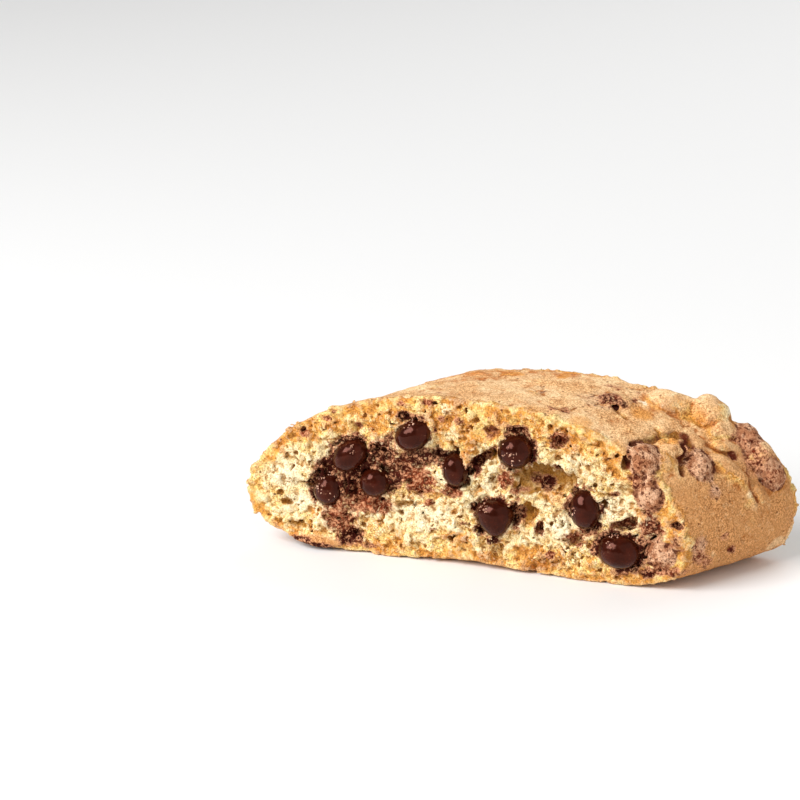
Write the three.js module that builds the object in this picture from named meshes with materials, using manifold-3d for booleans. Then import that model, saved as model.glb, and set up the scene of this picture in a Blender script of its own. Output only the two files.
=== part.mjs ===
import * as THREE from 'three';
import { mergeVertices } from 'three/addons/utils/BufferGeometryUtils.js';
import Module from 'manifold-3d';

// One slice of chocolate chip biscotti, cut on the slant from a baked half-round log.
// Millimetres: +X runs along the slice, the cut faces look to -Y and +Y, and +Z is up.
// The slice stands on its flat baked base at z = 0.

const wasm = await Module();
wasm.setup();

const degrees = THREE.MathUtils.degToRad;

// ---- driving dimensions ----
const leftHalfWidth = 37; // across the log, along the cut face, from its middle line
const rightHalfWidth = 38.2;
const logHeight = 29;
const widestHeight = 8.6; // height of the log's widest line above its base
const sliceThickness = 21;
const slant = degrees(32); // between the cut and a square cut
const rightDomeRoundness = 2.12; // superellipse exponents: 2 is an ellipse, more is boxier
const leftDomeRoundness = 2;
const rightHeelRoundness = 5;
const leftHeelRoundness = 2.6;
const heelDepth = 1.04; // how far the lower outline would pass the base, as a factor
const backDrop = 0.9; // the log is lower at the back cut
const endSwell = 1.5; // the right end bulges, most of all behind the middle
const swellAngle = degrees(10); // where round the log it bulges most
const swellBehind = 3.7; // and how far behind the middle
const swellFade = 14; // and how far from there it would end
const ridgeHeight = 0.95; // a low fold of the crust behind the top, towards the left
const ridgeAngle = degrees(116);
const ridgeReach = degrees(22); // half of it, round the log
const ridgeBehind = 9.5;
const ridgeFade = 5; // half of it, along the log
const crustRipple = 0.35;
const rippleLength = 7; // from one swell of the ripple to the next, round the log
const rippleAlong = 6; // and along it
const rippleShift = 3;
const crumbRelief = 0.5;
const crumbLength = 3.4;
const rimRelief = 0.4; // relief left at the rim of a cut, as a part of crumbRelief
const wornFrontEdge = 1.1; // height of the worn lower edge of the front cut
const wornBackEdge = 0.7;
const wornMiddle = 0.1; // where that worn stretch is, and how far it reaches, as parts
const wornReach = 0.35; // of half the slice's width
const fitGap = 0.35; // between a chip and the pocket that holds it

const alongSteps = 27;
const throughSteps = 6;
const upSteps = 12;
const chipSides = 9;
const chipRows = 5;
const chipHeel = 0.8; // flatter underside of a chip, against its rounded top

const porePerFace = 10;
const poreSeed = 7;
const poreSize = [0.6, 1.2];
const poreSpread = 0.85; // pores keep inside this part of the outline
const poreClearance = 0.6; // between a pore and a chip or hollow
const fineHollow = 4.2; // hollows longer than this are cut round, smaller ones coarse

// ---- chips in the cut faces ----
// x and z: centre on the face. long, short: size across the face. deep: size along the
// chip's own axis. turn: degrees anticlockwise, as seen from the front. sink: how far the
// centre lies behind the face. tilt: 0 points the tip out of the face, 90 lays it flat.
const frontChips = [
  { name: 'chip_front_1', x: -25.3, z: 17.1, long: 6.9, short: 4.7, deep: 4.6, turn: 42, sink: 0.5 },
  { name: 'chip_front_2', x: -29.1, z: 10.7, long: 5.5, short: 5.0, deep: 4.4, turn: 70, sink: 0.6 },
  { name: 'chip_front_3', x: -20.9, z: 12.9, long: 5.2, short: 4.8, deep: 4.4, turn: 20, sink: 0.5 },
  { name: 'chip_front_4', x: -14.2, z: 21.9, long: 6.6, short: 4.8, deep: 4.8, turn: 33, sink: 0.3 },
  { name: 'chip_front_5', x: -7.0, z: 16.6, long: 5.4, short: 4.1, deep: 4.2, turn: 95, sink: 0.5 },
  { name: 'chip_front_6', x: 3.2, z: 20.9, long: 6.0, short: 5.4, deep: 4.8, turn: 40, sink: 0.5 },
  {
    name: 'chip_front_7', x: -0.3, z: 9.9, long: 6.4, short: 4.8, deep: 5.2,
    turn: 190, sink: 0.4, tilt: 80, tip: 0.6,
  },
  { name: 'chip_front_8', x: 15.1, z: 12.4, long: 6.6, short: 4.9, deep: 4.6, turn: 96, sink: 0.3 },
  { name: 'chip_front_9', x: 20.9, z: 5.9, long: 7.2, short: 5.6, deep: 5, turn: -4, sink: 0.2 },
  { name: 'chip_front_10', x: 27.9, z: 6.2, long: 5.8, short: 5.2, deep: 4.2, turn: 30, sink: 1.6 },
  { name: 'chip_front_11', x: 25.7, z: 16.0, long: 5.0, short: 4.3, deep: 4.2, turn: 115, sink: 1.2 },
];
const backChips = [
  { name: 'chip_back_1', x: -24.6, z: 9.6, long: 6.3, short: 4.7, deep: 4.6, turn: 25, sink: 0.5 },
  { name: 'chip_back_2', x: -17.5, z: 18.2, long: 5.3, short: 4.6, deep: 4.4, turn: 110, sink: 0.6 },
  { name: 'chip_back_3', x: -8.2, z: 9.4, long: 6.2, short: 4.8, deep: 4.6, turn: -15, sink: 0.4 },
  { name: 'chip_back_4', x: -4.2, z: 21.6, long: 6.5, short: 4.5, deep: 4.4, turn: 160, sink: 0.5 },
  { name: 'chip_back_5', x: 5.8, z: 13.5, long: 5.2, short: 4.9, deep: 4.8, turn: 0, sink: 0.3, tip: 0.25 },
  { name: 'chip_back_6', x: 13.6, z: 20.4, long: 6.2, short: 4.9, deep: 4.6, turn: 65, sink: 0.5 },
  { name: 'chip_back_7', x: 20.9, z: 10.2, long: 6.0, short: 4.6, deep: 4.4, turn: 120, sink: 0.6 },
  { name: 'chip_back_8', x: 27.4, z: 15.4, long: 5.6, short: 4.4, deep: 4.2, turn: 35, sink: 0.4 },
];

// ---- chips that push through the crust ----
// angle: degrees round the log from its right side, through the top, to its left side.
// y: place between the cuts. sink: depth of the chip's centre below the crust.
const crustChips = [
  { name: 'chip_crust_1', angle: 40.5, y: -8.8, long: 5.6, short: 4.9, deep: 4.2, turn: 0, sink: 1.0 },
  { name: 'chip_crust_2', angle: 31.5, y: -3.0, long: 5.0, short: 4.7, deep: 4.4, turn: 0, sink: 1.1 },
  { name: 'chip_crust_3', angle: 36, y: 8.0, long: 6.2, short: 4.8, deep: 4.4, turn: 5, sink: 0.3 },
  { name: 'chip_crust_4', angle: 21, y: 7.0, long: 6.0, short: 4.6, deep: 4.4, turn: 75, sink: 0.4 },
  { name: 'chip_crust_5', angle: 65.5, y: 1.4, long: 6.0, short: 4.6, deep: 4.2, turn: 10, sink: 1.9 },
  { name: 'chip_crust_6', angle: 148, y: 6.4, long: 5.4, short: 4.4, deep: 4.2, turn: 40, sink: 1.4 },
  { name: 'chip_crust_7', angle: 156, y: -1.8, long: 5.8, short: 4.6, deep: 4.2, turn: 75, sink: 1.0 },
];

// ---- lumps of dough raised on the crust ----
const crustLumps = [
  { angle: 57, y: 6.2, long: 6.4, short: 4.4, deep: 3.4, turn: 60 },
  { angle: 48.5, y: 8.0, long: 6.6, short: 5.0, deep: 5.2, turn: 20 },
  { angle: 39, y: -5.2, long: 4.6, short: 2.6, deep: 2.6, turn: 80 },
  { angle: 27, y: 0.6, long: 8.5, short: 2.8, deep: 2.2, turn: 65 },
  { angle: 35, y: 3.6, long: 5.4, short: 2.4, deep: 2.4, turn: 80 },
  { angle: 13, y: 3.2, long: 4.6, short: 1.9, deep: 1.8, turn: 75 },
  { angle: 112, y: -3.0, long: 6.2, short: 3.8, deep: 1.5, turn: 25 },
];

// ---- cracks in the crust, cut as narrow lenses ----
const crustCracks = [
  { angle: 44, y: -8.0, long: 5.2, short: 1.3, deep: 3.2, turn: 20 },
  { angle: 46, y: -2.8, long: 6.0, short: 1.5, deep: 3.0, turn: -5 },
  { angle: 36, y: -4.4, long: 5.4, short: 1.1, deep: 2.4, turn: 85 },
  { angle: 66, y: -0.6, long: 4.6, short: 1.0, deep: 2.2, turn: 40 },
  { angle: 68, y: -6.4, long: 3.4, short: 1.0, deep: 2.0, turn: 15 },
  { angle: 83, y: -1.0, long: 3.2, short: 0.8, deep: 1.6, turn: 70 },
  { angle: 121, y: 1.4, long: 6.4, short: 1.0, deep: 2.4, turn: 30 },
];

// ---- hollows torn in the crumb beside the chips ----
const frontHollows = [
  { x: 8.2, z: 16.9, long: 10.5, short: 4.4, deep: 6.4, turn: -12 },
  { x: -2.2, z: 19.2, long: 5.0, short: 1.9, deep: 5.0, turn: 33 },
  { x: -9.9, z: 18.6, long: 2.6, short: 2.1, deep: 4.4, turn: 10 },
  { x: 5.2, z: 10.2, long: 3.6, short: 3.0, deep: 5.0, turn: 60 },
  { x: 21.6, z: 10.7, long: 4.6, short: 2.4, deep: 4.4, turn: 5 },
  { x: 10.4, z: 23.3, long: 3.0, short: 2.0, deep: 4.0, turn: 20 },
  { x: -32.6, z: 11.7, long: 4.0, short: 1.2, deep: 3.2, turn: 16 },
  { x: -36.4, z: 7.7, long: 3.6, short: 1.0, deep: 2.6, turn: 18 },
  { x: 30.2, z: 11.4, long: 2.4, short: 1.6, deep: 3.0, turn: -20 },
  { x: 13.8, z: 6.7, long: 3.2, short: 1.6, deep: 3.2, turn: 25 },
  { x: -19.4, z: 18.4, long: 3.4, short: 1.6, deep: 3.4, turn: -30 },
  { x: -25.0, z: 3.6, long: 3.0, short: 1.8, deep: 3.2, turn: 35 },
];
const backHollows = [
  { x: -30.8, z: 13.6, long: 5.6, short: 2.0, deep: 4.6, turn: 28 },
  { x: -13.0, z: 13.4, long: 5.4, short: 2.4, deep: 5.2, turn: -22 },
  { x: -11.4, z: 23.4, long: 3.2, short: 1.8, deep: 3.8, turn: 12 },
  { x: 0.6, z: 17.2, long: 4.8, short: 2.2, deep: 5.0, turn: 40 },
  { x: 11.6, z: 9.2, long: 6.6, short: 2.6, deep: 5.4, turn: -8 },
  { x: 20.2, z: 17.0, long: 4.2, short: 2.0, deep: 4.6, turn: 60 },
  { x: -18.6, z: 5.4, long: 3.8, short: 1.4, deep: 3.2, turn: 10 },
  { x: 28.6, z: 7.2, long: 3.0, short: 1.5, deep: 3.2, turn: -30 },
];

const doughFinish = new THREE.MeshStandardMaterial({ color: '#d9ad6c', roughness: 0.88, metalness: 0 });
const chipFinish = new THREE.MeshStandardMaterial({ color: '#3c201b', roughness: 0.35, metalness: 0 });

// ---- the shape of the log ----

// A fixed value from -1 to 1 for each point of a whole-number lattice.
function latticeValue(i, j, k) {
  const spread = Math.sin(i * 127.1 + j * 311.7 + k * 74.7) * 43758.5453;
  return 2 * (spread - Math.floor(spread)) - 1;
}

// Smooth unevenness: the lattice values blended over each cell.
function unevenness(x, y, z) {
  const cell = [x, y, z].map(Math.floor);
  const part = [x - cell[0], y - cell[1], z - cell[2]].map((t) => t * t * (3 - 2 * t));
  let sum = 0;
  for (let corner = 0; corner < 8; corner++) {
    const step = [corner & 1, (corner >> 1) & 1, corner >> 2];
    const weight = step.reduce((w, s, axis) => w * (s ? part[axis] : 1 - part[axis]), 1);
    sum += weight * latticeValue(cell[0] + step[0], cell[1] + step[1], cell[2] + step[2]);
  }
  return sum;
}

// The log's outline at an angle round its widest line, as offsets from that line.
function outlineOffset(angle) {
  const c = Math.cos(angle);
  const s = Math.sin(angle);
  const halfWidth = c < 0 ? leftHalfWidth : rightHalfWidth;
  const dome = c < 0 ? leftDomeRoundness : rightDomeRoundness;
  const heel = c < 0 ? leftHeelRoundness : rightHeelRoundness;
  const exponent = s > 0 ? dome : heel;
  const reach = (Math.abs(c) ** exponent + Math.abs(s) ** exponent) ** (-1 / exponent);
  const rise = s > 0 ? logHeight - widestHeight : widestHeight * heelDepth;
  return { across: reach * c * halfWidth, up: reach * s * rise };
}

// A point of the crust, at an angle round the log and a place y between the cuts.
function crustPoint(angle, y) {
  const { across, up } = outlineOffset(angle);
  const fullness = 1 - ((y - swellBehind) / swellFade) ** 2;
  const swell = endSwell * Math.max(0, Math.cos(angle - swellAngle)) ** 3 * fullness;
  const drop = up > 0 ? backDrop * (0.5 + y / sliceThickness) * (up / logHeight) : 0;
  const place = [across / rippleLength, y / rippleAlong + rippleShift, up / rippleLength];
  const ripple = crustRipple * unevenness(...place);
  const size = Math.hypot(across, up);
  const fold = ((angle - ridgeAngle) / ridgeReach) ** 2 + ((y - ridgeBehind) / ridgeFade) ** 2;
  const grow = 1 + (swell + ripple + ridgeHeight * Math.exp(-fold)) / size;
  const x = y * Math.tan(slant) + across * grow;
  const z = widestHeight + up * grow - drop;
  return new THREE.Vector3(x, y, Math.max(0, z));
}

// The direction out of the crust there.
function crustNormal(angle, y) {
  const step = 0.02;
  const alongOutline = crustPoint(angle + step, y).sub(crustPoint(angle - step, y));
  const alongLog = crustPoint(angle, y + step).sub(crustPoint(angle, y - step));
  return alongLog.cross(alongOutline).normalize();
}

// A box stretched over the log: its ends and sides become the crust and the base, and
// its front and back become the two cuts, which are uneven like torn crumb.
function sliceGeometry() {
  const box = new THREE.BoxGeometry(2, 2, 2, alongSteps, throughSteps, upSteps);
  const place = box.getAttribute('position');
  for (let i = 0; i < place.count; i++) {
    const bx = place.getX(i);
    const by = place.getY(i);
    const bz = place.getZ(i);
    const across = bx * Math.sqrt(1 - bz * bz / 2);
    const up = bz * Math.sqrt(1 - bx * bx / 2);
    const fromMiddle = Math.hypot(across, up);
    const y = by * sliceThickness / 2;
    const middle = new THREE.Vector3(y * Math.tan(slant), y, widestHeight);
    const point = crustPoint(Math.atan2(up, across), y).sub(middle).multiplyScalar(fromMiddle).add(middle);
    const onCut = Math.abs(by) === 1;
    if (onCut) {
      const fade = 1 - (1 - rimRelief) * fromMiddle ** 6;
      point.y += crumbRelief * fade * unevenness(point.x / crumbLength, by * 5, point.z / crumbLength);
    }
    if (onCut && bz === -1) {
      const worn = by < 0 ? wornFrontEdge : wornBackEdge;
      point.z = Math.max(point.z, worn * Math.exp(-(((bx - wornMiddle) / wornReach) ** 2)));
    }
    place.setXYZ(i, point.x, point.y, point.z);
  }
  return box;
}

// ---- pieces ----

// A unit drop of chocolate on the Y axis: flatter below, rounded above, with an optional tip.
function dropGeometry(tip = 0) {
  const profile = [];
  for (let row = 0; row <= chipRows; row++) {
    const t = Math.PI * (row / chipRows - 0.5);
    const rise = Math.sin(t);
    const radius = row % chipRows === 0 ? 0 : Math.cos(t);
    const height = rise < 0 ? rise * chipHeel : rise + tip * rise ** 6;
    profile.push(new THREE.Vector2(radius, height));
  }
  return new THREE.LatheGeometry(profile, chipSides);
}

// Size a unit shape, with extra all round for a pocket.
function sized(geometry, { long, short, deep }, extra = 0) {
  return geometry.scale(long / 2 + extra, deep / 2 + extra, short / 2 + extra);
}

// Lay a shape into a cut face: side is -1 for the front and 1 for the back.
function laidInFace(geometry, side, { x, z, turn, sink = 0, tilt = 0 }) {
  geometry.rotateX(side < 0 ? Math.PI - degrees(tilt) : degrees(tilt));
  geometry.rotateY(-degrees(turn));
  return geometry.translate(x, side * (sliceThickness / 2 - sink), z);
}

// Lay a shape onto the crust, its own axis along the direction out of the crust.
function laidOnCrust(geometry, { angle, y, turn, sink = 0 }) {
  const normal = crustNormal(degrees(angle), y);
  const centre = crustPoint(degrees(angle), y).addScaledVector(normal, -sink);
  geometry.rotateY(degrees(turn));
  geometry.applyQuaternion(new THREE.Quaternion().setFromUnitVectors(new THREE.Vector3(0, 1, 0), normal));
  return geometry.translate(centre.x, centre.y, centre.z);
}

function toSolid(geometry) {
  geometry.deleteAttribute('normal');
  geometry.deleteAttribute('uv');
  const merged = mergeVertices(geometry, 1e-5);
  const vertProperties = new Float32Array(merged.getAttribute('position').array);
  const triVerts = new Uint32Array(merged.getIndex().array);
  return new wasm.Manifold(new wasm.Mesh({ numProp: 3, vertProperties, triVerts }));
}

function toPiece(name, solid, finish) {
  const { vertProperties, triVerts } = solid.getMesh();
  const geometry = new THREE.BufferGeometry();
  geometry.setAttribute('position', new THREE.BufferAttribute(vertProperties, 3));
  geometry.setIndex(new THREE.BufferAttribute(triVerts, 1));
  geometry.computeVertexNormals();
  const piece = new THREE.Mesh(geometry, finish.clone());
  piece.name = name;
  return piece;
}

// Every chip, with a function that lays a shape where the chip is.
function chipPlaces() {
  const inFace = (side) => (chip) => ({ chip, lay: (shape) => laidInFace(shape, side, chip) });
  const onCrust = (chip) => ({ chip, lay: (shape) => laidOnCrust(shape, chip) });
  return [...frontChips.map(inFace(-1)), ...backChips.map(inFace(1)), ...crustChips.map(onCrust)];
}

// A repeatable run of numbers from 0 to 1.
function numberRun(seed) {
  let state = seed;
  return () => {
    state = (state * 16807) % 2147483647;
    return state / 2147483647;
  };
}

// Small round pores scattered over a cut face, clear of its chips, its hollows and its rim.
function poreSolids(side, others) {
  const next = numberRun(poreSeed + side);
  const shift = side * Math.tan(slant) * sliceThickness / 2;
  const pores = [];
  while (pores.length < porePerFace) {
    const angle = 2 * Math.PI * next();
    const fromMiddle = poreSpread * Math.sqrt(next());
    const { across, up } = outlineOffset(angle);
    const x = shift + across * fromMiddle;
    const z = widestHeight + up * fromMiddle;
    const size = poreSize[0] + (poreSize[1] - poreSize[0]) * next();
    const reach = size + poreClearance;
    const clear = others.every((other) => Math.hypot(other.x - x, other.z - z) > other.long / 2 + reach);
    if (clear) {
      const pore = { x, z, long: 2 * size, short: 1.5 * size, deep: 2 * size, turn: 180 * next() };
      pores.push(toSolid(laidInFace(lensGeometry(pore), side, pore)));
    }
  }
  return pores;
}

// A rounded stone-like shape, finer where it is long.
function lensGeometry(size) {
  return sized(new THREE.IcosahedronGeometry(1, size.long > fineHollow ? 1 : 0), size);
}

function hollowSolids(side, hollows) {
  return hollows.map((hollow) => toSolid(laidInFace(lensGeometry(hollow), side, hollow)));
}

function doughSolid(places) {
  let dough = toSolid(sliceGeometry());
  for (const lump of crustLumps) {
    dough = dough.add(toSolid(laidOnCrust(lensGeometry(lump), lump)));
  }
  const cuts = [
    ...places.map(({ chip, lay }) => toSolid(lay(sized(dropGeometry(chip.tip), chip, fitGap)))),
    ...crustCracks.map((crack) => toSolid(laidOnCrust(lensGeometry(crack), crack))),
    ...hollowSolids(-1, frontHollows),
    ...hollowSolids(1, backHollows),
    ...poreSolids(-1, [...frontChips, ...frontHollows]),
    ...poreSolids(1, [...backChips, ...backHollows]),
  ];
  for (const cut of cuts) {
    dough = dough.subtract(cut);
  }
  return dough;
}

// ---- the slice ----

const slice = new THREE.Group();
const places = chipPlaces();
slice.add(toPiece('dough', doughSolid(places), doughFinish));
for (const { chip, lay } of places) {
  slice.add(toPiece(chip.name, toSolid(lay(sized(dropGeometry(chip.tip), chip))), chipFinish));
}

// The origin is the middle of the slice's box, at the base.
const middleOfBox = new THREE.Box3().setFromObject(slice).getCenter(new THREE.Vector3());
slice.position.set(-middleOfBox.x, -middleOfBox.y, 0);

const biscotti = new THREE.Group();
biscotti.add(slice);

export default biscotti;
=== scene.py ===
import math
import time

import bmesh
import bpy
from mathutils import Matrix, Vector
from mathutils.bvhtree import BVHTree


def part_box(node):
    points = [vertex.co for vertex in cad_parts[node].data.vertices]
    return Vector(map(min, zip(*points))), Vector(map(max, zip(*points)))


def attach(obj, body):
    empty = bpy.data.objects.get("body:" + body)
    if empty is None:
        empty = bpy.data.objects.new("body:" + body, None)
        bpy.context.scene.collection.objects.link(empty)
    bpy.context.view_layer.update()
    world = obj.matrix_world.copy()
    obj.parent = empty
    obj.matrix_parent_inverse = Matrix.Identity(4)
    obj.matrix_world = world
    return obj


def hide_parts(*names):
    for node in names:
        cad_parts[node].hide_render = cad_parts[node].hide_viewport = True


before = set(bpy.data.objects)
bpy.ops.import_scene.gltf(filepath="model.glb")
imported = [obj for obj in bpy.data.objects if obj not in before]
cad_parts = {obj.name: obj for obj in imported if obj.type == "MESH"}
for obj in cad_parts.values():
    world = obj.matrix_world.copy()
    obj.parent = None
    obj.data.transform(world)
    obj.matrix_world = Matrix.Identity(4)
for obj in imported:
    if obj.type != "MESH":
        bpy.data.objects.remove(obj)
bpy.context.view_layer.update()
startTime = time.time()
scene = bpy.context.scene
mm = 0.001
chipNames = [name for name in sorted(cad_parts) if name.startswith("chip_")]
buriedNames = ["chip_crust_5"]
dustedNames = ["chip_front_10", "chip_front_11", "chip_crust_1", "chip_crust_2", "chip_crust_3",
               "chip_crust_4", "chip_crust_6", "chip_crust_7", "chip_back_8"]


def note(text):
    print(f"[{time.time() - startTime:5.1f} s] {text}", flush=True)


# Small helpers that keep the node trees short. They work in the tree that is being built.
building = {}


def plug(socket, value):
    if isinstance(value, bpy.types.NodeSocket):
        building["tree"].links.new(value, socket)
    else:
        socket.default_value = value


def addNode(kind, sockets=None, **settings):
    node = building["tree"].nodes.new(kind)
    for name, value in settings.items():
        setattr(node, name, value)
    for key, value in (sockets or {}).items():
        plug(node.inputs[key], value)
    return node


def made(kind, sockets=None, **settings):
    # A new node's first output.
    return addNode(kind, sockets, **settings).outputs[0]


def calc(operation, *values):
    return made("ShaderNodeMath", dict(enumerate(values)), operation=operation)


def vectorCalc(operation, *values):
    node = addNode("ShaderNodeVectorMath", dict(enumerate(values)), operation=operation)
    return node.outputs["Value" if operation in ("LENGTH", "DISTANCE", "DOT_PRODUCT") else "Vector"]


def scaled(vector, factor):
    node = addNode("ShaderNodeVectorMath", {0: vector, "Scale": factor}, operation="SCALE")
    return node.outputs["Vector"]


def parts(vector):
    return addNode("ShaderNodeSeparateXYZ", {0: vector}).outputs


def ease(value, low, high, toLow=0.0, toHigh=1.0):
    sockets = dict(enumerate((value, low, high, toLow, toHigh)))
    return made("ShaderNodeMapRange", sockets, interpolation_type="SMOOTHSTEP")


def over(size):
    return calc("DIVIDE", 1.0, size) if isinstance(size, bpy.types.NodeSocket) else 1 / size


def noise(where, size, detail=2.0, seed=0.0, roughness=0.5, output=0):
    node = addNode("ShaderNodeTexNoise", {
        "Vector": where, "W": seed, "Scale": over(size), "Detail": detail, "Roughness": roughness,
    }, noise_dimensions="4D")
    return node.outputs[output]


def product(first, *others):
    for other in others:
        first = calc("MULTIPLY", first, other)
    return first


def total(first, *others):
    for other in others:
        first = calc("ADD", first, other)
    return first


def wave(where, size, height, **options):
    swing = calc("MULTIPLY_ADD", noise(where, size, **options), 2.0, -1.0)
    return product(swing, height)


def cells(where, size):
    return addNode("ShaderNodeTexVoronoi", {"Vector": where, "Scale": over(size)})


socketKinds = {float: "NodeSocketFloat", int: "NodeSocketInt", Vector: "NodeSocketVector",
               bpy.types.Object: "NodeSocketObject", bpy.types.Material: "NodeSocketMaterial"}


def evaluatedMesh(holder):
    # The mesh that an object's modifiers make of it. The object itself is dropped.
    depsgraph = bpy.context.evaluated_depsgraph_get()
    mesh = bpy.data.meshes.new_from_object(holder.evaluated_get(depsgraph), depsgraph=depsgraph)
    bpy.data.objects.remove(holder)
    return mesh


def growMesh(name, baseMesh, build, values):
    # Runs a Geometry Nodes tree on a mesh once and gives back the plain mesh it makes.
    tree = bpy.data.node_groups.new(name, "GeometryNodeTree")
    tree.interface.new_socket("Geometry", in_out="INPUT", socket_type="NodeSocketGeometry")
    tree.interface.new_socket("Geometry", in_out="OUTPUT", socket_type="NodeSocketGeometry")
    identifiers = {}
    for label, value in values.items():
        socket = tree.interface.new_socket(label, in_out="INPUT", socket_type=socketKinds[type(value)])
        identifiers[label] = socket.identifier
    building["tree"] = tree
    shape = build(addNode("NodeGroupInput").outputs)
    plug(addNode("NodeGroupOutput").inputs[0], shape)
    holder = bpy.data.objects.new(name + " holder", baseMesh)
    scene.collection.objects.link(holder)
    modifier = holder.modifiers.new(name, "NODES")
    modifier.node_group = tree
    for label, value in values.items():
        modifier[identifiers[label]] = value
    mesh = evaluatedMesh(holder)
    mesh.name = name
    return mesh


def thinned(mesh, mostTriangles):
    mesh.calc_loop_triangles()
    triangleCount = len(mesh.loop_triangles)
    if triangleCount <= mostTriangles:
        return mesh
    holder = bpy.data.objects.new("thinning", mesh)
    scene.collection.objects.link(holder)
    holder.modifiers.new("Decimate", "DECIMATE").ratio = mostTriangles / triangleCount
    return evaluatedMesh(holder)


def addPiece(name, mesh, slot, *nodes):
    piece = bpy.data.objects.new(name, mesh)
    scene.collection.objects.link(piece)
    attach(piece, "root")
    if nodes:
        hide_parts(*nodes)
    mesh.calc_loop_triangles()
    note(f"{name}: {len(mesh.loop_triangles)} triangles")


def weldedCopy(names):
    # One mesh of the named CAD solids, with the loose triangles of each joined at their corners.
    welded = bmesh.new()
    for name in names:
        welded.from_mesh(bpy.data.objects[name].data)
    bmesh.ops.remove_doubles(welded, verts=welded.verts, dist=0.002 * mm)
    mesh = bpy.data.meshes.new("welded " + names[0])
    welded.to_mesh(mesh)
    welded.free()
    return mesh


# The dough: where the slice is cut and how its crumb tears, in millimetres.
dough = {
    "cutFront": -10.7, "cutBack": 10.3, "skin": 0.28, "skinWander": 0.35,
    "wearReach": 1.2, "wearSize": 2.4,
    "clumpSize": 6.0, "clumpHeight": 0.8, "foldSize": 3.2, "foldHeight": 3.4,
    "creaseSize": 2.2, "creaseHeight": 0.9, "socketFill": 0.25, "lumpGrain": 1.2,
    "pitSize": 2.4, "pitDepth": 1.0, "smallPitSize": 0.9, "smallPitDepth": 0.5,
    "poreSize": 3.2, "finePoreSize": 1.3, "poreReach": 3.4,
    "facetSize": 2.4, "facetHeight": 0.9, "ridgeHeight": 0.55,
    "rippleSize": 4.0, "rippleHeight": 0.3, "fineRippleSize": 0.9, "fineRippleHeight": 0.1,
    "dustFilm": 0.35, "dustPatchSize": 1.8, "dustPatches": 0.7, "dustGrain": 0.7, "burialDepth": 1.0,
    "crackBlur": 0.1,
}
# The sizes and heights of its finer unevenness, and how softly its parts run together.
torn = {
    "wanderSize": 3.2, "wearWander": 1.6, "wearStart": 0.2, "coarseSize": 7.0,
    "bendSize": 1.8, "bend": 0.8, "raggedSize": 0.7, "ragged": 0.4, "wallSize": 1.1, "wallHeight": 0.9,
    "cragSize": 1.3, "dustGrainSize": 0.8, "crackSize": 1.6, "crackWidening": 1.9, "poreRim": 1.2,
    "leastPore": 0.05, "poreGap": 3.0,
    "shellReach": 1.9, "mostSideways": 0.7, "roughRim": 4.0, "smoothingSteps": 24,
    "hollowBlend": 0.4, "lumpBlend": 0.5, "poreBlend": 0.25, "coatBlend": 0.3, "coverBlend": 0.6,
    "crackBlend": 0.2,
}
# Each kind of pore: the largest radius, as a share of its cell, and how rare it is.
poreKinds = {"poreSize": (0.3, 0.65), "finePoreSize": (0.4, 0.5)}
voxel = 0.25 * mm
fewestPoints = 3000.0
mostTriangles = 197000

# Hollows torn in the front cut: x, z, half width, half height, depth.
frontHollows = [
    (5.2, 17.0, 3.4, 2.0, 3.0), (4.4, 15.2, 2.8, 1.8, 1.8), (9.6, 16.9, 3.4, 1.8, 2.6),
    (7.1, 15.5, 1.3, 0.8, 3.6), (9.4, 18.5, 0.9, 0.6, 3.2), (3.4, 15.8, 1.2, 1.2, 1.6),
    (12.0, 15.6, 1.6, 0.9, 1.6), (-2.1, 20.0, 1.3, 0.75, 3.0), (-4.1, 18.6, 1.3, 0.75, 3.0),
    (-10.5, 18.8, 1.1, 0.7, 3.0), (-5.2, 16.8, 0.8, 1.0, 2.4), (-30.3, 14.3, 1.1, 1.1, 2.0),
    (-33.8, 11.4, 1.4, 0.45, 1.9), (-37.4, 7.7, 2.0, 0.4, 1.5), (-38.8, 9.3, 0.9, 0.6, 1.2),
    (-35.4, 4.0, 1.4, 0.6, 1.3), (2.4, 10.2, 0.8, 2.2, 2.6), (4.3, 10.6, 2.1, 1.7, 2.8),
    (-4.5, 10.7, 0.7, 0.7, 2.0), (-3.6, 6.8, 0.7, 0.8, 2.0), (9.3, 23.4, 1.3, 1.0, 2.4),
    (-1.6, 24.0, 1.6, 1.0, 1.7), (20.6, 10.4, 1.4, 0.5, 0.9), (29.4, 11.3, 0.8, 0.45, 1.8),
    (6.5, 8.1, 0.7, 1.0, 1.8), (-6.3, 7.5, 0.7, 0.4, 1.0), (-20.6, 17.6, 1.2, 0.7, 1.8),
    (-25.7, 11.5, 0.9, 2.0, 1.6), (-26.2, 3.1, 1.3, 0.9, 1.4),
    (-16.8, 9.7, 1.8, 0.5, 1.4), (18.6, 15.4, 1.5, 0.45, 1.3), (-15.0, 11.9, 2.2, 0.6, 1.2),
    (-16.0, 25.0, 1.5, 0.55, 1.4), (2.5, 24.6, 1.6, 0.55, 1.5), (12.2, 7.0, 1.7, 0.7, 1.4),
]
backHollows = [
    (-31.4, 13.6, 2.4, 0.9, 2.0), (-13.6, 13.4, 2.3, 1.0, 2.4), (-12.0, 23.4, 1.4, 0.8, 1.6),
    (0.0, 17.2, 2.0, 0.9, 2.2), (11.0, 9.2, 2.8, 1.1, 2.4), (19.6, 17.0, 1.8, 0.9, 2.0),
    (-19.2, 5.4, 1.6, 0.6, 1.4), (28.0, 7.2, 1.3, 0.7, 1.4), (32.9, 11.0, 1.6, 0.5, 1.4),
]

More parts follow.
